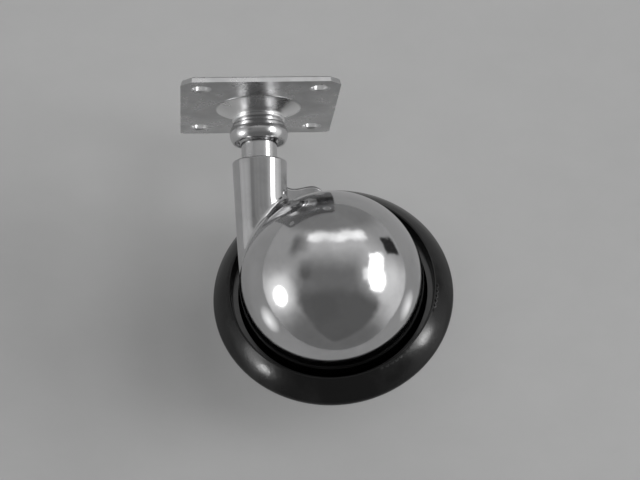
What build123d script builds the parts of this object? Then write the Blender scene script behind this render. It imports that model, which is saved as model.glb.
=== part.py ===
from build123d import *
import math
import os

# Furniture castor: a top plate with a fixed stem, a leg and ball-shaped hood that swivel on the
# stem, and a rubber-tyred wheel on a sloping axle inside the hood.
# Frame: Z is the swivel axis, the origin is the middle of the plate's upper (mounting) face.
# All sizes are in millimetres.

# Top plate
PLATE_WIDTH = 38.0
PLATE_DEPTH = 42.0
PLATE_THICKNESS = 1.5
PLATE_FRONT_CORNER = 2.6
PLATE_REAR_CORNER = 0.9
PLATE_EDGE_DRAFT = 17.0
PLATE_EDGE_ROUND = 0.5
SCREW_SPACING_X = 28.2
SCREW_SPACING_Y = 31.0
SCREW_HOLE_DIAMETER = 4.2
SCREW_HOLE_CHAMFER = 0.3

# Boss drawn down from the middle of the plate
BOSS_RADIUS = 10.5
BOSS_RIM_STEP = 0.12
BOSS_RIM_SLOPE = 20.0
BOSS_NECK_RADIUS = 6.0
BOSS_NECK_DEPTH = 3.9
BOSS_LIP_RADIUS = 6.4
BOSS_FOOT_RADIUS = 6.1
BOSS_DEPTH = 5.0
RIVET_HOLE_RADIUS = 3.0

# Collar under the boss
COLLAR_HEIGHT = 5.3
COLLAR_TOP_RADIUS = 5.85
COLLAR_BAND_RADIUS = 6.45
COLLAR_BAND_HEIGHT = 1.25
COLLAR_BAND_BULGE = 0.15
COLLAR_RADIUS = 7.05
COLLAR_BULGE_DROP = 2.6
COLLAR_LIP_RADIUS = 6.4
COLLAR_MOUTH_RADIUS = 5.95
COLLAR_RECESS = 0.7

# Stem
STEM_RADIUS = 4.375
STEM_SHOULDER_RADIUS = 4.8
STEM_SHOULDER_DEPTH = 10.1
STEM_END_DEPTH = 33.7
STEM_END_CHAMFER = 0.6
RIVET_HEAD_RADIUS = 4.4
RIVET_HEAD_HEIGHT = 1.5
RING_SETBACK = 5.2
RING_WIRE_RADIUS = 0.5
RING_GAP_ANGLE = 30.0

# Swivel and wheel placement
SWIVEL_ANGLE = -7.0
HEIGHT = 75.4
AXLE_TILT = 16.0

# Hood and leg
HOOD_RADIUS = 22.2
HOOD_WALL = 1.9
HOOD_CENTRE_LEAD = 6.3
HOOD_RIM_SETBACK = 1.45
LEG_TOP_DEPTH = 15.3
LEG_TOP_RADIUS = 6.7
LEG_END_RADIUS = 5.63
LEG_RUN_OUT = 0.05
LEG_TOP_ROUND = 0.4
LEG_BORE_CHAMFER = 0.3
JUNCTION_FILLET = 1.6
SOCKET_RADIUS = 5.5
SOCKET_FLOOR = 1.6
SOCKET_DRILL_ANGLE = 118.0
RIM_ROUND = 0.35
SADDLE_THICKNESS = 3.2
SADDLE_SETBACK = 3.0
SADDLE_START_RISE = 2.9
SADDLE_DIP_SETBACK = 7.4
SADDLE_DIP_RISE = 1.55
SADDLE_CREST_SETBACK = 4.8
SADDLE_CREST_RISE = 1.95
SADDLE_END_SETBACK = 1.0
SADDLE_ROOT = 5.0
SADDLE_ROUND = 0.6
STEM_CLEARANCE = 0.05
BALL_RADIUS = 3.175
BALL_GAP = 0.05

# Axle and its bearing
AXLE_RADIUS = 3.0
AXLE_BOSS_RADIUS = 5.6
AXLE_SEAT_DEPTH = 9.0
AXLE_CLEARANCE = 0.04
AXLE_END_CHAMFER = 0.5
AXLE_END_LENGTH = 0.8
WASHER_THICKNESS = 0.8
WASHER_RADIUS = 4.9
CLIP_THICKNESS = 0.7
CLIP_RADIUS = 4.6
CLIP_GROOVE_DEPTH = 0.5
CLIP_GAP_WIDTH = 3.4
END_PLAY = 0.1

# Wheel
TYRE_RADIUS = 29.26
TYRE_WIDTH = 11.6
TYRE_CROWN_RADIUS = 1.6
TYRE_CROWN_ANGLE = 60.0
TYRE_LIP_RADIUS = 24.66
TYRE_LIP_ROUND = 0.3
DISH_RADIUS = 24.2
DISH_SHEET = 1.2
DISH_EDGE_SETBACK = 3.8
DISH_TAIL_SETBACK = 0.4
DISH_SHOULDER_RADIUS = 2.6
DISH_BACK_OFFSET = 8.6
DISH_CROWN = 3.6
DISH_LAND_RADIUS = 9.0
HUB_RADIUS = 6.4
HUB_FRONT = 14.2
HUB_CHAMFER = 0.4
HUB_NECK_RADIUS = 5.9
HUB_FLANGE_RADIUS = 7.0
HUB_FLANGE_THICKNESS = 0.9
BUSH_WALL = 1.5
HUB_RECESS_RADIUS = 5.2
HUB_RECESS_DEPTH = 4.4
CAP_RADIUS = 8.4
CAP_SHEET = 1.0
CAP_SKIRT = 1.3
CAP_CROWN = 2.1
CAP_GAP = 0.15
CAP_PLUG_LENGTH = 1.2

# Frames of the swivelling half: X' is the trail direction, the axle slopes down away from the hood
swivel = Plane.XY.rotated((0, 0, SWIVEL_ANGLE))
trail_dir = swivel.x_dir
side_dir = swivel.y_dir
tilt = math.radians(AXLE_TILT)
axle_dir = side_dir * -math.cos(tilt) + Vector(0, 0, 1) * math.sin(tilt)

# The tyre touches the floor straight behind the swivel axis, at the full height of the castor
crown_circle = TYRE_RADIUS - TYRE_CROWN_RADIUS
wheel_side = TYRE_RADIUS * math.sin(tilt)
wheel_depth = HEIGHT - TYRE_CROWN_RADIUS - crown_circle * math.cos(tilt)
hood_side = wheel_side - HOOD_CENTRE_LEAD * math.cos(tilt)
hood_depth = wheel_depth - HOOD_CENTRE_LEAD * math.sin(tilt)

# The leg runs out flush with the side of the ball, which sets the trail
hood_reach = HOOD_RADIUS - LEG_END_RADIUS - LEG_RUN_OUT
trail = math.sqrt(hood_reach**2 - hood_side**2)
wheel_centre = trail_dir * trail + side_dir * wheel_side - Vector(0, 0, 1) * wheel_depth

# Section planes: leg_section holds (trail, height), axle_section holds (radius, way along the axle)
leg_section = Plane(origin=(0, 0, 0), x_dir=trail_dir, z_dir=side_dir * -1)
axle_section = Plane(origin=wheel_centre, x_dir=trail_dir, z_dir=trail_dir.cross(axle_dir))
axle_line = Axis(wheel_centre, axle_dir)

hood_centre = wheel_centre + axle_dir * HOOD_CENTRE_LEAD
hood_rim = HOOD_CENTRE_LEAD - HOOD_RIM_SETBACK
inner_radius = HOOD_RADIUS - HOOD_WALL
rim_radius = math.sqrt(HOOD_RADIUS**2 - HOOD_RIM_SETBACK**2)
rim_flare = math.sqrt(HOOD_RADIUS**2 - (HOOD_RIM_SETBACK - RIM_ROUND) ** 2) - rim_radius

# Places along the axle, measured from the middle of the tyre, positive towards the hood
dish_edge = TYRE_WIDTH / 2 - DISH_EDGE_SETBACK
dish_tail = -TYRE_WIDTH / 2 + DISH_TAIL_SETBACK
washer_front = HUB_FRONT + END_PLAY + WASHER_THICKNESS
axle_seat_end = washer_front + AXLE_SEAT_DEPTH
dish_back = -DISH_BACK_OFFSET - DISH_CROWN
hub_end = dish_back - HUB_FLANGE_THICKNESS
recess_floor = hub_end + HUB_RECESS_DEPTH
clip_back = recess_floor - END_PLAY - WASHER_THICKNESS - CLIP_THICKNESS
axle_end = clip_back - AXLE_END_LENGTH


# Top plate: cropped corners, sides that lean in towards the top as the press leaves them
floor_top = BOSS_DEPTH - PLATE_THICKNESS
rim_fall = math.tan(math.radians(BOSS_RIM_SLOPE))
flare_top = PLATE_THICKNESS + BOSS_RIM_STEP
flare_control = flare_top + rim_fall * (BOSS_RADIUS - BOSS_NECK_RADIUS)
hollow_radius = BOSS_NECK_RADIUS - PLATE_THICKNESS + BOSS_RIM_STEP
hollow_control = rim_fall * (BOSS_RADIUS - hollow_radius)
lip_middle = (BOSS_NECK_DEPTH + BOSS_DEPTH) / 2
with BuildPart() as top_plate:
    with BuildSketch(Plane.XY.offset(-PLATE_THICKNESS)) as outline:
        Rectangle(PLATE_WIDTH, PLATE_DEPTH)
        chamfer(outline.vertices().group_by(Axis.Y)[0], length=PLATE_FRONT_CORNER)
        chamfer(outline.vertices().group_by(Axis.Y)[-1], length=PLATE_REAR_CORNER)
    extrude(amount=PLATE_THICKNESS, taper=PLATE_EDGE_DRAFT)
    fillet(top_plate.edges().group_by(Axis.Z)[-1], radius=PLATE_EDGE_ROUND)
    with BuildSketch(Plane.XZ):
        with BuildLine():
            Polyline((BOSS_RADIUS, -PLATE_THICKNESS), (BOSS_RADIUS, -flare_top))
            Bezier(
                (BOSS_RADIUS, -flare_top),
                (BOSS_NECK_RADIUS, -flare_control),
                (BOSS_NECK_RADIUS, -BOSS_NECK_DEPTH),
            )
            ThreePointArc(
                (BOSS_NECK_RADIUS, -BOSS_NECK_DEPTH),
                (BOSS_LIP_RADIUS, -lip_middle),
                (BOSS_FOOT_RADIUS, -BOSS_DEPTH),
            )
            Polyline(
                (BOSS_FOOT_RADIUS, -BOSS_DEPTH),
                (0, -BOSS_DEPTH),
                (0, -PLATE_THICKNESS),
                (BOSS_RADIUS, -PLATE_THICKNESS),
            )
        make_face()
    revolve(axis=Axis.Z)
    with BuildSketch(Plane.XZ):
        with BuildLine():
            Bezier((BOSS_RADIUS, 0), (hollow_radius, -hollow_control), (hollow_radius, -BOSS_DEPTH))
            Polyline((hollow_radius, -BOSS_DEPTH), (0, -BOSS_DEPTH), (0, 0), (BOSS_RADIUS, 0))
        make_face()
        with Locations((0, -floor_top)):
            Rectangle(
                2 * BOSS_RADIUS, 2 * PLATE_THICKNESS, align=(Align.CENTER, Align.MAX), mode=Mode.SUBTRACT
            )
    revolve(axis=Axis.Z, mode=Mode.SUBTRACT)
    with Locations((0, 0, -BOSS_DEPTH)):
        Cylinder(
            RIVET_HOLE_RADIUS, BOSS_DEPTH, align=(Align.CENTER, Align.CENTER, Align.MIN), mode=Mode.SUBTRACT
        )
    with GridLocations(SCREW_SPACING_X, SCREW_SPACING_Y, 2, 2):
        Hole(SCREW_HOLE_DIAMETER / 2)
    screw_rims = top_plate.edges().filter_by(GeomType.CIRCLE).filter_by(
        lambda e: abs(e.radius - SCREW_HOLE_DIAMETER / 2) < 0.01
    )
    chamfer(screw_rims.group_by(Axis.Z)[0], length=SCREW_HOLE_CHAMFER)
top_plate.part.label = "top_plate"

# Dust collar: a turned ring, clamped between the boss and the shoulder of the stem, with a
# narrow band above its barrel and a shallow recess below
collar_bottom = BOSS_DEPTH + COLLAR_HEIGHT
band_depth = BOSS_DEPTH + COLLAR_BAND_HEIGHT
band_middle = (COLLAR_TOP_RADIUS + COLLAR_BAND_RADIUS) / 2 + COLLAR_BAND_BULGE
recess_depth = collar_bottom - COLLAR_RECESS
with BuildPart() as dust_collar:
    with BuildSketch(Plane.XZ):
        with BuildLine():
            ThreePointArc(
                (COLLAR_TOP_RADIUS, -BOSS_DEPTH),
                (band_middle, -(BOSS_DEPTH + band_depth) / 2),
                (COLLAR_BAND_RADIUS, -band_depth),
            )
            ThreePointArc(
                (COLLAR_BAND_RADIUS, -band_depth),
                (COLLAR_RADIUS, -BOSS_DEPTH - COLLAR_BULGE_DROP),
                (COLLAR_LIP_RADIUS, -collar_bottom),
            )
            Polyline(
                (COLLAR_LIP_RADIUS, -collar_bottom),
                (COLLAR_MOUTH_RADIUS, -collar_bottom),
                (COLLAR_MOUTH_RADIUS, -recess_depth),
                (RIVET_HOLE_RADIUS, -recess_depth),
                (RIVET_HOLE_RADIUS, -BOSS_DEPTH),
                (COLLAR_TOP_RADIUS, -BOSS_DEPTH),
            )
        make_face()
    revolve(axis=Axis.Z)
dust_collar.part.label = "dust_collar"

# Stem: rivet head, neck, shoulder, bearing length with the ring groove
ring_depth = STEM_END_DEPTH - RING_SETBACK
shoulder_step = STEM_SHOULDER_RADIUS - STEM_RADIUS
groove_half = RING_WIRE_RADIUS + STEM_CLEARANCE
with BuildPart() as stem:
    with BuildSketch(Plane.XZ):
        with BuildLine():
            Polyline(
                (RIVET_HEAD_RADIUS, -floor_top),
                (RIVET_HOLE_RADIUS, -floor_top),
                (RIVET_HOLE_RADIUS, -recess_depth),
                (STEM_SHOULDER_RADIUS, -recess_depth),
                (STEM_SHOULDER_RADIUS, -STEM_SHOULDER_DEPTH),
                (STEM_RADIUS, -STEM_SHOULDER_DEPTH - shoulder_step),
                (STEM_RADIUS, -ring_depth + groove_half),
                (STEM_RADIUS - groove_half, -ring_depth + groove_half),
                (STEM_RADIUS - groove_half, -ring_depth - groove_half),
                (STEM_RADIUS, -ring_depth - groove_half),
                (STEM_RADIUS, -STEM_END_DEPTH + STEM_END_CHAMFER),
                (STEM_RADIUS - STEM_END_CHAMFER, -STEM_END_DEPTH),
                (0, -STEM_END_DEPTH),
                (0, -floor_top + RIVET_HEAD_HEIGHT),
            )
            TangentArc(
                (0, -floor_top + RIVET_HEAD_HEIGHT), (RIVET_HEAD_RADIUS, -floor_top), tangent=(1, 0)
            )
        make_face()
    revolve(axis=Axis.Z)
stem.part.label = "stem"

# Split ring that keeps the leg on the stem
with BuildPart() as retaining_ring:
    with BuildSketch(leg_section):
        with Locations((STEM_RADIUS, -ring_depth)):
            Circle(RING_WIRE_RADIUS)
    revolve(axis=Axis.Z, revolution_arc=360 - RING_GAP_ANGLE)
retaining_ring.part.label = "retaining_ring"

# Places down the socket: the ball sits in the cone that the drill leaves
half_drill = math.radians(SOCKET_DRILL_ANGLE / 2)
bore_radius = STEM_RADIUS + STEM_CLEARANCE
ball_depth = STEM_END_DEPTH + BALL_GAP + BALL_RADIUS
cone_tip = ball_depth + (BALL_RADIUS + BALL_GAP / 2) / math.sin(half_drill)
bore_depth = cone_tip - bore_radius / math.tan(half_drill)
socket_end = cone_tip + SOCKET_FLOOR

with BuildPart() as thrust_ball:
    with Locations((0, 0, -ball_depth)):
        Sphere(BALL_RADIUS)
thrust_ball.part.label = "thrust_ball"

# Leg and hood casting
hood_top = hood_depth - HOOD_RADIUS
saddle_end = trail - SADDLE_END_SETBACK
with BuildPart() as hood_casting:
    with Locations(hood_centre):
        Sphere(HOOD_RADIUS)
    with BuildSketch(leg_section):
        Polygon(
            (0, -LEG_TOP_DEPTH),
            (LEG_TOP_RADIUS, -LEG_TOP_DEPTH),
            (LEG_END_RADIUS, -hood_depth),
            (0, -hood_depth),
            align=None,
        )
    revolve(axis=Axis.Z)
    top_edge = hood_casting.edges().filter_by(GeomType.CIRCLE).group_by(Axis.Z)[-1]
    fillet(top_edge, radius=LEG_TOP_ROUND)
    junction = hood_casting.edges().filter_by(GeomType.BSPLINE)
    fillet(junction, radius=JUNCTION_FILLET)
    # low saddle behind the crease, between the leg and the top of the ball
    with BuildSketch(leg_section.offset(-SADDLE_SETBACK - SADDLE_THICKNESS / 2)):
        with BuildLine():
            saddle_top = Spline(
                (SOCKET_RADIUS, -hood_top + SADDLE_START_RISE),
                (trail - SADDLE_DIP_SETBACK, -hood_top + SADDLE_DIP_RISE),
                (trail - SADDLE_CREST_SETBACK, -hood_top + SADDLE_CREST_RISE),
                (saddle_end, -hood_top),
            )
            Polyline(
                saddle_top @ 1,
                (saddle_end, -hood_top - SADDLE_ROOT),
                (SOCKET_RADIUS, -hood_top - SADDLE_ROOT),
                saddle_top @ 0,
            )
        make_face()
    extrude(amount=SADDLE_THICKNESS)
    crest_level = -hood_top + SADDLE_DIP_RISE - SADDLE_CREST_RISE
    saddle_rims = hood_casting.edges().filter_by(GeomType.BSPLINE).filter_by(
        lambda e: e.length > saddle_end - LEG_TOP_RADIUS and e.center().Z > crest_level
    )
    fillet(saddle_rims, radius=SADDLE_ROUND)
    # hollow of the hood, open at the rim plane
    with Locations(hood_centre):
        Sphere(inner_radius, mode=Mode.SUBTRACT)
    with BuildSketch(leg_section):
        with Locations((0, -hood_top)):
            Rectangle(SOCKET_RADIUS, socket_end - hood_top, align=(Align.MIN, Align.MAX))
    revolve(axis=Axis.Z)
    with BuildSketch(Plane(wheel_centre + axle_dir * washer_front, x_dir=trail_dir, z_dir=axle_dir)):
        Circle(AXLE_BOSS_RADIUS)
    extrude(amount=HOOD_CENTRE_LEAD + inner_radius + HOOD_WALL / 2 - washer_front)
    split(
        bisect_by=Plane(wheel_centre + axle_dir * hood_rim, x_dir=trail_dir, z_dir=axle_dir),
        keep=Keep.TOP,
    )
    with BuildSketch(axle_section):
        with BuildLine():
            ThreePointArc(
                (rim_radius - RIM_ROUND, hood_rim),
                (rim_radius - 0.25 * RIM_ROUND, hood_rim + 0.25 * RIM_ROUND),
                (rim_radius + rim_flare, hood_rim + RIM_ROUND),
            )
            Polyline(
                (rim_radius + rim_flare, hood_rim + RIM_ROUND),
                (rim_radius + RIM_ROUND, hood_rim + RIM_ROUND),
                (rim_radius + RIM_ROUND, hood_rim - RIM_ROUND),
                (rim_radius - RIM_ROUND, hood_rim - RIM_ROUND),
                (rim_radius - RIM_ROUND, hood_rim),
            )
        make_face()
    revolve(axis=axle_line, mode=Mode.SUBTRACT)
    # socket for the stem, with the groove of the ring and the drilled end
    with BuildSketch(leg_section):
        Polygon(
            (0, -LEG_TOP_DEPTH),
            (bore_radius + LEG_BORE_CHAMFER, -LEG_TOP_DEPTH),
            (bore_radius, -LEG_TOP_DEPTH - LEG_BORE_CHAMFER),
            (bore_radius, -ring_depth + groove_half),
            (bore_radius + RING_WIRE_RADIUS, -ring_depth + groove_half),
            (bore_radius + RING_WIRE_RADIUS, -ring_depth - groove_half),
            (bore_radius, -ring_depth - groove_half),
            (bore_radius, -bore_depth),
            (0, -cone_tip),
            align=None,
        )
    revolve(axis=Axis.Z, mode=Mode.SUBTRACT)
    # seat of the axle pin
    with BuildSketch(Plane(wheel_centre + axle_dir * washer_front, x_dir=trail_dir, z_dir=axle_dir)):
        Circle(AXLE_RADIUS)
    extrude(amount=AXLE_SEAT_DEPTH, mode=Mode.SUBTRACT)
hood_casting.part.label = "hood_casting"

# Axle pin with the groove of its clip
with BuildPart() as axle_pin:
    with BuildSketch(axle_section):
        Polygon(
            (0, axle_end),
            (AXLE_RADIUS - AXLE_END_CHAMFER, axle_end),
            (AXLE_RADIUS, axle_end + AXLE_END_CHAMFER),
            (AXLE_RADIUS, clip_back),
            (AXLE_RADIUS - CLIP_GROOVE_DEPTH, clip_back),
            (AXLE_RADIUS - CLIP_GROOVE_DEPTH, clip_back + CLIP_THICKNESS),
            (AXLE_RADIUS, clip_back + CLIP_THICKNESS),
            (AXLE_RADIUS, axle_seat_end - AXLE_END_CHAMFER),
            (AXLE_RADIUS - AXLE_END_CHAMFER, axle_seat_end),
            (0, axle_seat_end),
            align=None,
        )
    revolve(axis=axle_line)
axle_pin.part.label = "axle_pin"

# Thrust washers at the two ends of the hub, held still on the pin
washer_hole = AXLE_RADIUS + AXLE_CLEARANCE
washers = {}
for name, start in (("inner_washer", HUB_FRONT + END_PLAY), ("outer_washer", clip_back + CLIP_THICKNESS)):
    with BuildPart() as washer:
        with BuildSketch(Plane(wheel_centre + axle_dir * start, x_dir=trail_dir, z_dir=axle_dir)):
            Circle(WASHER_RADIUS)
            Circle(washer_hole, mode=Mode.SUBTRACT)
        extrude(amount=WASHER_THICKNESS)
    washer.part.label = name
    washers[name] = washer

# Spring clip, open on one side
with BuildPart() as axle_clip:
    with BuildSketch(Plane(wheel_centre + axle_dir * clip_back, x_dir=trail_dir, z_dir=axle_dir)):
        Circle(CLIP_RADIUS)
        Circle(AXLE_RADIUS - CLIP_GROOVE_DEPTH, mode=Mode.SUBTRACT)
        Rectangle(CLIP_RADIUS, CLIP_GAP_WIDTH, align=(Align.MIN, Align.CENTER), mode=Mode.SUBTRACT)
    extrude(amount=CLIP_THICKNESS)
axle_clip.part.label = "axle_clip"

# Wheel: pressed dish, open towards the hood
with BuildPart() as wheel_dish:
    with BuildSketch(axle_section):
        with BuildLine():
            dish_arc = TangentArc(
                (DISH_LAND_RADIUS, dish_back), (DISH_RADIUS, -DISH_BACK_OFFSET), tangent=(1, 0)
            )
            Polyline(
                (DISH_RADIUS, -DISH_BACK_OFFSET),
                (DISH_RADIUS, dish_edge),
                (0, dish_edge),
                (0, dish_back),
                (DISH_LAND_RADIUS, dish_back),
            )
        make_face()
    revolve(axis=axle_line)
    shoulder = wheel_dish.edges().filter_by(GeomType.CIRCLE).filter_by(
        lambda e: abs((e.arc_center - wheel_centre).dot(axle_dir) + DISH_BACK_OFFSET) < 0.01
    )
    fillet(shoulder, radius=DISH_SHOULDER_RADIUS)
    front = wheel_dish.faces().filter_by(GeomType.PLANE).sort_by(Axis(wheel_centre, axle_dir))[-1]
    offset(amount=-DISH_SHEET, openings=front)
    with BuildSketch(Plane(wheel_centre + axle_dir * dish_back, x_dir=trail_dir, z_dir=axle_dir)):
        Circle(HUB_NECK_RADIUS)
    extrude(amount=DISH_SHEET, mode=Mode.SUBTRACT)
wheel_dish.part.label = "wheel_dish"

# Hub, riveted over behind the dish
bush_radius = washer_hole + BUSH_WALL
with BuildPart() as hub:
    with BuildSketch(axle_section):
        Polygon(
            (bush_radius, HUB_FRONT),
            (HUB_RADIUS - HUB_CHAMFER, HUB_FRONT),
            (HUB_RADIUS, HUB_FRONT - HUB_CHAMFER),
            (HUB_RADIUS, dish_back + DISH_SHEET),
            (HUB_NECK_RADIUS, dish_back + DISH_SHEET),
            (HUB_NECK_RADIUS, dish_back),
            (HUB_FLANGE_RADIUS, dish_back),
            (HUB_FLANGE_RADIUS, hub_end),
            (HUB_RECESS_RADIUS, hub_end),
            (HUB_RECESS_RADIUS, recess_floor),
            (bush_radius, recess_floor),
            align=None,
        )
    revolve(axis=axle_line)
hub.part.label = "hub"

with BuildPart() as wheel_bush:
    with BuildSketch(Plane(wheel_centre + axle_dir * recess_floor, x_dir=trail_dir, z_dir=axle_dir)):
        Circle(bush_radius)
        Circle(washer_hole, mode=Mode.SUBTRACT)
    extrude(amount=HUB_FRONT - recess_floor)
wheel_bush.part.label = "wheel_bush"

# Tyre: rounded crown, slightly bulging shoulders, flat seat on the dish
half_width = TYRE_WIDTH / 2
with BuildPart() as tyre:
    with BuildSketch(axle_section):
        with BuildLine():
            crown = CenterArc(
                (crown_circle, 0), TYRE_CROWN_RADIUS, -TYRE_CROWN_ANGLE / 2, TYRE_CROWN_ANGLE
            )
            TangentArc(crown @ 1, (TYRE_LIP_RADIUS, half_width), tangent=crown % 1)
            TangentArc(crown @ 0, (TYRE_LIP_RADIUS, -half_width), tangent=(crown % 0) * -1)
            Polyline(
                (TYRE_LIP_RADIUS, half_width),
                (DISH_RADIUS, dish_edge),
                (DISH_RADIUS, dish_tail),
                (TYRE_LIP_RADIUS, -half_width),
            )
        make_face()
    revolve(axis=axle_line)
    lips = tyre.edges().filter_by(GeomType.CIRCLE).filter_by(
        lambda e: abs(e.radius - TYRE_LIP_RADIUS) < 0.01
    )
    fillet(lips, radius=TYRE_LIP_ROUND)
tyre.part.label = "tyre"

# Cap over the riveted end of the hub
cap_skirt = dish_back - CAP_SKIRT
cap_top = cap_skirt - CAP_CROWN
plug_end = hub_end + CAP_PLUG_LENGTH
cap_ceiling = hub_end - CAP_GAP
skirt_radius = CAP_RADIUS - CAP_SHEET
plug_radius = HUB_RECESS_RADIUS - CAP_SHEET
with BuildPart() as hub_cap:
    with BuildSketch(axle_section):
        with BuildLine():
            TangentArc((0, cap_top), (CAP_RADIUS, cap_skirt), tangent=(1, 0))
            Polyline(
                (CAP_RADIUS, cap_skirt),
                (CAP_RADIUS, dish_back),
                (skirt_radius, dish_back),
                (skirt_radius, cap_ceiling),
                (HUB_RECESS_RADIUS, cap_ceiling),
                (HUB_RECESS_RADIUS, plug_end),
                (plug_radius, plug_end),
                (plug_radius, cap_ceiling),
                (0, cap_ceiling),
                (0, cap_top),
            )
        make_face()
    revolve(axis=axle_line)
hub_cap.part.label = "hub_cap"

os.makedirs("parts", exist_ok=True)
pieces = [top_plate, dust_collar, stem, retaining_ring, thrust_ball, hood_casting, axle_pin]
pieces += [washers["inner_washer"], washers["outer_washer"], axle_clip]
pieces += [wheel_dish, hub, wheel_bush, tyre, hub_cap]
for piece in pieces:
    export_step(piece.part, f"parts/{piece.part.label}.step")
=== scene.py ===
import math

import bpy
from mathutils import Matrix, Vector


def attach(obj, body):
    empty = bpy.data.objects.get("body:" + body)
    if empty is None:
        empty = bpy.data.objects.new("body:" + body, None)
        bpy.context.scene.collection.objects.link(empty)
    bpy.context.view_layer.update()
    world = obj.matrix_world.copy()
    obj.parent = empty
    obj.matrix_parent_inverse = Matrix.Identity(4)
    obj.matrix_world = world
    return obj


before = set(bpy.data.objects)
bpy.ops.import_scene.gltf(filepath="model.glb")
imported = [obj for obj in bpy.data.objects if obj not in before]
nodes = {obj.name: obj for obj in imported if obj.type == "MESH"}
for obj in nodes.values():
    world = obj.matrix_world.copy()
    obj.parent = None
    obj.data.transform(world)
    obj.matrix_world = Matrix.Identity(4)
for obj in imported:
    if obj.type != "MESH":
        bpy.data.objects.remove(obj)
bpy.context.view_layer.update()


# Shader maths: a Value is one output socket with arithmetic, a Finish is one material's tree
class Value:
    def __init__(self, finish, socket):
        self.finish = finish
        self.socket = socket

    def _math(self, operation, *terms):
        return self.finish.node("ShaderNodeMath", {"operation": operation}, *terms)

    def __add__(self, other):
        return self._math("ADD", self, other)

    __radd__ = __add__

    def __sub__(self, other):
        return self._math("SUBTRACT", self, other)

    def __rsub__(self, other):
        return self._math("SUBTRACT", other, self)

    def __mul__(self, other):
        return self._math("MULTIPLY", self, other)

    __rmul__ = __mul__

    def __pow__(self, other):
        return self._math("POWER", self, other)

    def absolute(self):
        return self._math("ABSOLUTE", self)

    def smallest(self, other):
        return self._math("MINIMUM", self, other)

    def largest(self, other):
        return self._math("MAXIMUM", self, other)

    # 0 at the first number, 1 at the second and smooth in between
    def between(self, low, high, to_low=0.0, to_high=1.0):
        settings = {"interpolation_type": "SMOOTHSTEP"}
        return self.finish.node("ShaderNodeMapRange", settings, self, low, high, to_low, to_high)


class Finish:
    def __init__(self, tree):
        self.tree = tree
        tree.nodes.clear()

    def node(self, kind, settings=None, *inputs, out=0, **named):
        made = self.tree.nodes.new(kind)
        for key, value in (settings or {}).items():
            setattr(made, key, value)
        for index, value in list(enumerate(inputs)) + list(named.items()):
            socket = made.inputs[index.replace("_", " ") if isinstance(index, str) else index]
            if isinstance(value, Value):
                self.tree.links.new(value.socket, socket)
            elif value is not None:
                socket.default_value = value
        return Value(self, made.outputs[out]) if made.outputs else None

    def place(self, scale=(1, 1, 1), turn=(0, 0, 0), shift=(0, 0, 0)):
        spot = self.node("ShaderNodeTexCoord", out=3)
        return self.node("ShaderNodeMapping", None, spot, shift, turn, scale)

    def noise(self, where, scale, detail=3.0, roughness=0.5):
        named = {"Vector": where, "Scale": scale, "Detail": detail, "Roughness": roughness}
        return self.node("ShaderNodeTexNoise", {"noise_dimensions": "3D"}, **named)

    def split(self, where):
        made = self.tree.nodes.new("ShaderNodeSeparateXYZ")
        self.tree.links.new(where.socket, made.inputs[0])
        return [Value(self, socket) for socket in made.outputs]

    def dot(self, one, other):
        return self.node("ShaderNodeVectorMath", {"operation": "DOT_PRODUCT"}, one, other, out=1)

    def blend(self, factor, one, other):
        made = self.tree.nodes.new("ShaderNodeMix")
        made.data_type = "RGBA"
        for index, value in ((0, factor), (6, one), (7, other)):
            if isinstance(value, Value):
                self.tree.links.new(value.socket, made.inputs[index])
            else:
                made.inputs[index].default_value = value
        return Value(self, made.outputs[2])

    def bump(self, height, distance, strength=1.0):
        named = {"Height": height, "Distance": distance, "Strength": strength}
        return self.node("ShaderNodeBump", None, **named)

    def surface(self, **named):
        shader = self.node("ShaderNodeBsdfPrincipled", None, **named)
        self.node("ShaderNodeOutputMaterial", None, shader)


def grey(level):
    return (level, level, level, 1.0)


def new_finish(name):
    material = bpy.data.materials.new(name)
    material.use_nodes = True
    return material, Finish(material.node_tree)


# Fineness of each surface pattern, as the noise's scale on coordinates in metres
SMEARS = 110.0
PITS = 1900.0
HAIRLINES = 700.0
HAIR_STRETCH = (1.0, 1.0, 14.0)
HAIR_TURN = (0.5, 0.4, 0.2)
RIPPLES = 130.0
# Fineness of the mottled painted shade on the saddle
SHADE_BLOTCHES = 520.0
RUBBER_BLOOM = 120.0
RUBBER_GRAIN = 3200.0
RUBBER_WAVES = 380.0
# Waves in the wheel dish's near-black finish, which is painted shade
DISH_WAVES = 240.0
PAPER_FIBRES = 60.0

# Depth of each relief in metres
METAL_RELIEF = 0.0004
RUBBER_RELIEF = 0.0002
# Relief of the wheel dish's near-black finish, which is painted shade
DISH_RELIEF = 0.0004

# The plate's screw holes and the flare of its boss, lightened as painted highlight, each mask from
# its outer to its inner edge
HOLE_X = 0.0141
HOLE_Y = 0.0155
HOLE_EDGE = (0.0027, 0.0023)
FLARE_EDGE = (0.0106, 0.0100)
FLARE_SIDES = (0.0018, 0.0045)

# Painted shade, mottled and dark, on the front of the saddle between leg and ball
SADDLE = Vector((0.0105, -0.0005, -0.0222))
SHADE_EDGE = (0.0062, 0.0030)
SHADE_FRONT = (0.0012, -0.0012)
SHADE_WIDTH = 0.45


# Painted highlight and shade on a piece, as a tone mask and the tone that it blends to
# Painted highlight: lighter tone on the screw holes' walls and the boss's flare
def plate_painted_highlights(f):
    x, y, _ = f.split(f.place())
    hole_x = x.absolute() - HOLE_X
    hole_y = y.absolute() - HOLE_Y
    hole_highlight = ((hole_x * hole_x + hole_y * hole_y) ** 0.5).between(*HOLE_EDGE)
    sides = x.absolute().between(*FLARE_SIDES)
    flare_highlight = ((x * x + y * y) ** 0.5).between(*FLARE_EDGE) * sides
    return (hole_highlight * 0.45 + flare_highlight).smallest(1.0), grey(0.96)


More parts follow.
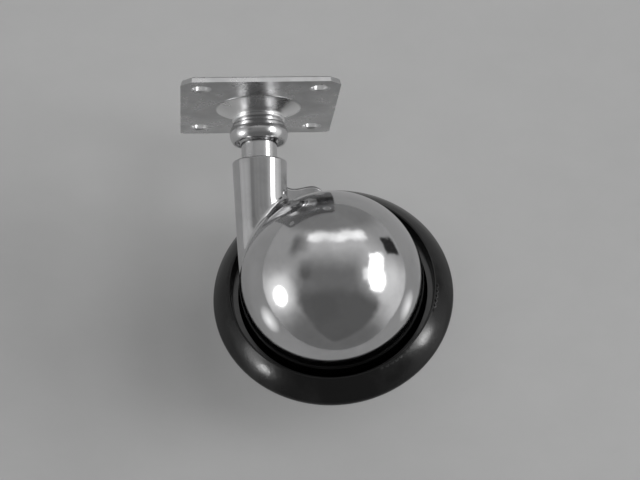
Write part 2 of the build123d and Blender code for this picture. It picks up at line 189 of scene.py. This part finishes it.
# Painted shade: mottled dark tone on the front of the saddle between leg and ball
def saddle_painted_shade(f):
    x, y, z = f.split(f.place(shift=tuple(-SADDLE)))
    away = (x * x * SHADE_WIDTH + y * y + z * z) ** 0.5
    blotch = f.noise(f.place(), SHADE_BLOTCHES, 3.0, 0.6).between(0.36, 0.56)
    front = y.between(*SHADE_FRONT)
    return away.between(*SHADE_EDGE) * blotch * front * 0.8, grey(0.13)


# Plated or ground metal: faint smears from bright and glossy to dull and satin, with a soft ripple,
# fine pits, hairline scratches and any painted light that a mask gives
def plated(name, bright, dull, gloss, satin, ripple, pits, painted_light=None):
    material, f = new_finish(name)
    where = f.place()
    smear = f.noise(where, SMEARS, 3.0, 0.6).between(0.40, 0.66)
    fine = f.noise(where, PITS, 2.0, 0.5).between(0.62, 0.74)
    along = f.place(scale=HAIR_STRETCH, turn=HAIR_TURN)
    hair = f.noise(along, HAIRLINES, 1.0, 0.4).between(0.67, 0.71)
    tone = f.blend(smear, (*bright, 1.0), (*dull, 1.0))
    # Blend in the painted light that the mask gives
    if painted_light:
        mask, painted_tone = painted_light(f)
        tone = f.blend(mask, tone, painted_tone)
    shine = smear * (satin - gloss) + gloss + fine * 0.05 + hair * 0.05
    height = f.noise(where, RIPPLES, 2.0, 0.4) * ripple - fine * pits
    f.surface(Base_Color=tone, Metallic=1.0, Roughness=shine, Normal=f.bump(height, METAL_RELIEF))
    return material


# The casting carries the painted shade on the saddle
casting_plate = plated(
    "chromed_casting", bright=(0.60, 0.60, 0.605), dull=(0.54, 0.54, 0.545),
    gloss=0.075, satin=0.12, ripple=0.05, pits=0.003, painted_light=saddle_painted_shade,
)
turned_plate = plated(
    "chromed_turning", bright=(0.66, 0.66, 0.665), dull=(0.56, 0.56, 0.565),
    gloss=0.17, satin=0.25, ripple=0.03, pits=0.01,
)
# The plate carries painted highlights at the screw holes and the boss's flare
sheet_plate = plated(
    "plated_sheet", bright=(0.60, 0.60, 0.605), dull=(0.52, 0.52, 0.525),
    gloss=0.27, satin=0.35, ripple=0.008, pits=0.02, painted_light=plate_painted_highlights,
)
dish_plate = plated(
    "plated_dish", bright=(0.72, 0.72, 0.725), dull=(0.60, 0.60, 0.605),
    gloss=0.16, satin=0.28, ripple=0.06, pits=0.02,
)
ground_steel = plated(
    "ground_steel", bright=(0.62, 0.62, 0.63), dull=(0.50, 0.50, 0.51),
    gloss=0.20, satin=0.30, ripple=0.03, pits=0.01,
)
spring_steel = plated(
    "spring_steel", bright=(0.24, 0.24, 0.26), dull=(0.16, 0.16, 0.175),
    gloss=0.28, satin=0.40, ripple=0.03, pits=0.01,
)
bronze = plated(
    "sintered_bronze", bright=(0.62, 0.43, 0.23), dull=(0.46, 0.31, 0.16),
    gloss=0.30, satin=0.42, ripple=0.03, pits=0.06,
)


# Moulded black rubber with a soft sheen, a little bloom and fine grain
def black_rubber():
    material, f = new_finish("black_rubber")
    where = f.place()
    bloom = f.noise(where, RUBBER_BLOOM, 4.0, 0.6).between(0.45, 0.75)
    grain = f.noise(where, RUBBER_GRAIN, 2.0, 0.6)
    tone = f.blend(bloom, grey(0.008), grey(0.014))
    shine = bloom * 0.08 + 0.17 + grain * 0.04
    height = grain * 0.04 + f.noise(where, RUBBER_WAVES, 2.0, 0.5) * 0.20
    normal = f.bump(height, RUBBER_RELIEF)
    f.surface(Base_Color=tone, Roughness=shine, Specular_IOR_Level=0.26, Normal=normal)
    return material


# The wheel's dish in glossy near-black, painted shade that makes the ring between the hood and the
# tyre dark
def dish_painted_shade():
    material, f = new_finish("dish_painted_shade")
    wave = f.noise(f.place(), DISH_WAVES, 2.0, 0.5)
    normal = f.bump(wave * 0.12, DISH_RELIEF)
    f.surface(Base_Color=grey(0.014), Roughness=wave * 0.08 + 0.12, Normal=normal)
    return material


FINISHES = {
    "top_plate": sheet_plate,
    "dust_collar": turned_plate,
    "stem": turned_plate,
    "retaining_ring": spring_steel,
    "thrust_ball": ground_steel,
    "hood_casting": casting_plate,
    "axle_pin": ground_steel,
    "inner_washer": ground_steel,
    "outer_washer": ground_steel,
    "axle_clip": spring_steel,
    # The dish's near-black finish is painted shade in the ring between hood and tyre
    "wheel_dish": dish_painted_shade(),
    "hub": turned_plate,
    "wheel_bush": bronze,
    "tyre": black_rubber(),
    "hub_cap": dish_plate,
}
for name, material in FINISHES.items():
    for slot in nodes[name].material_slots:
        slot.material = material

# The ball of the hood is centred on the wheel's axle. Its skirt goes on past the casting's rim,
# from SKIRT_START to SKIRT_END behind the centre, and stands proud of the casting by SKIRT_LIFT.
WHEEL_CENTRE = Vector((0.01725803, 0.0060067, -0.0472115))
AXLE = Vector((-0.11714833, -0.9540966, 0.27563736))
HOOD_CENTRE = WHEEL_CENTRE + AXLE * 0.0063
HOOD_RADIUS = 0.0222
HOOD_WALL = 0.0019
SKIRT_START = 0.0008
SKIRT_END = 0.0070
SKIRT_LIFT = 0.00003
SKIRT_SEGMENTS = 192
SKIRT_RINGS = 96
EDGE_ROUND = 0.0003
EDGE_ANGLE = 50


def add_skirt():
    bpy.ops.object.select_all(action="DESELECT")
    bpy.ops.mesh.primitive_uv_sphere_add(
        segments=SKIRT_SEGMENTS,
        ring_count=SKIRT_RINGS,
        radius=HOOD_RADIUS + SKIRT_LIFT,
        location=HOOD_CENTRE,
        rotation=AXLE.to_track_quat("Z", "Y").to_euler(),
    )
    bpy.ops.object.transform_apply(location=True, rotation=True, scale=True)
    skirt = bpy.context.object
    skirt.name = "hood_skirt"
    bpy.ops.object.mode_set(mode="EDIT")
    bpy.ops.mesh.select_all(action="SELECT")
    start = HOOD_CENTRE - AXLE * SKIRT_START
    bpy.ops.mesh.bisect(plane_co=start, plane_no=AXLE, clear_outer=True, clear_inner=False)
    bpy.ops.mesh.select_all(action="SELECT")
    end = HOOD_CENTRE - AXLE * SKIRT_END
    bpy.ops.mesh.bisect(plane_co=end, plane_no=AXLE, clear_outer=False, clear_inner=True)
    bpy.ops.object.mode_set(mode="OBJECT")
    wall = skirt.modifiers.new("wall", "SOLIDIFY")
    wall.thickness = HOOD_WALL
    wall.offset = -1.0
    bpy.ops.object.modifier_apply(modifier="wall")
    edge = skirt.modifiers.new("edge", "BEVEL")
    edge.width = EDGE_ROUND
    edge.segments = 3
    edge.limit_method = "ANGLE"
    edge.angle_limit = math.radians(EDGE_ANGLE)
    bpy.ops.object.modifier_apply(modifier="edge")
    bpy.ops.object.shade_smooth()
    skirt.data.materials.append(casting_plate)
    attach(skirt, "hood")
    return skirt


skirt = add_skirt()


# The way towards a place in the studio. Azimuth 0 is the front and 90 the right, in degrees.
def toward(azimuth, elevation):
    across, rise = math.radians(azimuth), math.radians(elevation)
    flat = math.cos(rise)
    return Vector((math.sin(across) * flat, -math.cos(across) * flat, math.sin(rise)))


# Camera at the photograph's viewing angle, in degrees, metres and millimetres of film
VIEW_AZIMUTH = -4.5307
VIEW_ELEVATION = -13.1724
VIEW_ROLL = math.radians(-1.9985)
VIEW_PLACE = Vector((-0.020741, -0.439327, -0.138029))
LENS = 105.337
FILM_WIDTH = 36.0
NEAREST_SEEN = 0.01


def add_camera():
    back = toward(VIEW_AZIMUTH, VIEW_ELEVATION)
    level = (-back).cross(Vector((0, 0, 1))).normalized()
    above = level.cross(-back)
    right = level * math.cos(VIEW_ROLL) + above * math.sin(VIEW_ROLL)
    up = above * math.cos(VIEW_ROLL) - level * math.sin(VIEW_ROLL)
    data = bpy.data.cameras.new("camera")
    data.lens = LENS
    data.sensor_width = FILM_WIDTH
    data.clip_start = NEAREST_SEEN
    camera = bpy.data.objects.new("camera", data)
    turn = Matrix((right, up, back)).transposed().to_4x4()
    camera.matrix_world = Matrix.Translation(VIEW_PLACE) @ turn
    bpy.context.scene.collection.objects.link(camera)
    bpy.context.scene.camera = camera
    bpy.context.scene.view_settings.view_transform = "Standard"


add_camera()

# Pale sheet behind the castor, as it lies on its back. It shows from the front only.
SHEET_CENTRE = (0.02, 0.052, -0.03)
SHEET_SPREAD = (0.90, 0.60, 1.0)


def add_sheet():
    bpy.ops.object.select_all(action="DESELECT")
    upright = (math.pi / 2, 0, 0)
    bpy.ops.mesh.primitive_plane_add(size=1.0, location=SHEET_CENTRE, rotation=upright)
    sheet = bpy.context.object
    sheet.name = "pale_sheet"
    sheet.scale = SHEET_SPREAD
    paper, f = new_finish("pale_paper")
    fibre = f.noise(f.place(), PAPER_FIBRES, 3.0, 0.6)
    pale = f.blend(fibre, grey(0.38), grey(0.41))
    matt = f.node("ShaderNodeBsdfDiffuse", None, Color=pale)
    clear = f.node("ShaderNodeBsdfTransparent")
    behind = f.node("ShaderNodeNewGeometry", out=6)
    shown = f.node("ShaderNodeMixShader", None, behind, matt, clear)
    f.node("ShaderNodeOutputMaterial", None, shown)
    sheet.data.materials.append(paper)
    return sheet


sheet = add_sheet()

# Lamps that each light one thing alone, by name, azimuth, elevation, distance, size and power:
# the sheet for the castor's soft shadow, and the tyre for its two sheens
LAMP_AIM = Vector((0.017, 0.02, -0.045))
SHEET_LAMPS = (
    ("shadow_lamp", 26, -2, 0.9, 0.28, 1.4),
    ("front_lamp", 8, 0, 0.9, 0.22, 0.8),
    ("side_lamp", -16, -5, 0.9, 0.34, 0.7),
)
TYRE_LAMPS = (
    ("left_sheen", -72, -27, 0.5, 0.06, 0.55),
    ("right_sheen", 64, -8, 0.5, 0.06, 0.75),
)

# Soft bright patches near the ball's edge, by name, azimuth, elevation, distance and brightness.
# Each is a stack of discs, the smallest in front, so that it fades outwards.
BALL_PATCHES = (
    ("left_patch", -94, -28, 0.110, 0.40),
    ("right_patch", 97, -15, 0.115, 0.32),
)
PATCH_DISCS = 6
PATCH_CORE = 0.010
PATCH_GROWTH = 0.008
PATCH_GAP = 0.001


def group_of(name, *things):
    group = bpy.data.collections.new(name)
    for thing in things:
        group.objects.link(thing)
    return group


def lamp_on(group, name, azimuth, elevation, distance, size, power):
    data = bpy.data.lights.new(name, "AREA")
    data.shape = "DISK"
    data.size = size
    data.energy = power
    lamp = bpy.data.objects.new(name, data)
    way = toward(azimuth, elevation)
    lamp.location = LAMP_AIM + way * distance
    lamp.rotation_euler = way.to_track_quat("Z", "Y").to_euler()
    lamp.visible_camera = False
    bpy.context.scene.collection.objects.link(lamp)
    lamp.light_linking.receiver_collection = group


sheet_group = group_of("sheet_group", sheet)
for lamp in SHEET_LAMPS:
    lamp_on(sheet_group, *lamp)
tyre_group = group_of("tyre_group", nodes["tyre"])
for lamp in TYRE_LAMPS:
    lamp_on(tyre_group, *lamp)
ball_group = group_of("ball_group", nodes["hood_casting"], skirt)
for disc in range(PATCH_DISCS):
    size = PATCH_CORE + PATCH_GROWTH * disc
    for name, azimuth, elevation, distance, brightness in BALL_PATCHES:
        distance = distance + PATCH_GAP * disc
        lamp_on(ball_group, name, azimuth, elevation, distance, size, brightness * size * size)

# Studio round the castor: walls and lights placed by their direction, in degrees, with edges
# that waver a little
world = bpy.data.worlds.new("studio")
bpy.context.scene.world = world
world.use_nodes = True
studio = Finish(world.node_tree)
ray = studio.node("ShaderNodeTexCoord", out=0)
ahead = studio.dot(ray, (0, -1, 0))
aside = studio.dot(ray, (1, 0, 0))
height = studio.dot(ray, (0, 0, 1))
azimuth = studio.node("ShaderNodeMath", {"operation": "ARCTAN2"}, aside, ahead)
elevation = studio.node("ShaderNodeMath", {"operation": "ARCSINE"}, height)
uneven = studio.noise(ray, 3.2, 3.0, 0.6) - 0.5
azimuth = azimuth * math.degrees(1) + uneven * 16
elevation = elevation * math.degrees(1) + studio.noise(ray, 4.1, 3.0, 0.6) * 12 - 6


# 1 between left and right and between low and high, with soft edges
def panel(left, right, low, high, soft):
    across = azimuth.between(left - soft, left + soft) * azimuth.between(right + soft, right - soft)
    upward = elevation.between(low - soft, low + soft)
    return across * upward * elevation.between(high + soft, high - soft)


# 1 round one direction, fading at the radius
def glow(where, radius, soft):
    depth = studio.dot(ray, tuple(toward(*where)))
    inner = math.cos(math.radians(max(radius - soft, 0.0)))
    return depth.between(math.cos(math.radians(radius + soft)), inner)


# Walls all round, brighter at the sides and darker high up and low down
low = elevation.between(-12, -30)
walls = 0.42 + panel(-115, -58, -34, 8, 12) * 0.34 + panel(62, 135, -34, 10, 14) * 0.40
walls = walls - low * 0.08
walls = walls - elevation.between(48, 62) * 0.16 - elevation.between(-36, -56) * 0.14

# Darker middle in front, narrowing at the bottom
middle = 0.22 + elevation.between(0, 34) * 0.36 - elevation.between(50, 60) * 0.30 - low * 0.08
front = (azimuth + low * 6).between(-52, -40) * (azimuth - low * 20).between(54, 42)
light = walls + (middle - walls) * front

# Long light overhead, then the window at the right and the lamp at the left with their halos
overhead = panel(-37, 52, 41, 52, 3.5) * (uneven * 1.2 + 0.85)
light = light + overhead + panel(-30, 60, 30, 44, 8) * 0.10
light = light + panel(46, 62, -14, 22, 4) * 5.5 + panel(36, 52, -8, 8, 4) * 0.9
light = light + glow((56, 2), 24, 12) * 0.24
light = light + glow((-76, -16), 8, 4) * 5.0 + glow((-74, -14), 15, 11) * 0.40

# Dark corner and dark patch at the left, dark square at the right
light = light + panel(-62, -36, 26, 46, 7) * -0.24 + panel(-44, -30, -4, 20, 5) * -0.08
light = light + panel(71, 92, 23, 38, 2) * -0.44
shining = studio.node("ShaderNodeBackground", None, light.largest(0.03), 1.0)
studio.node("ShaderNodeOutputWorld", None, shining)
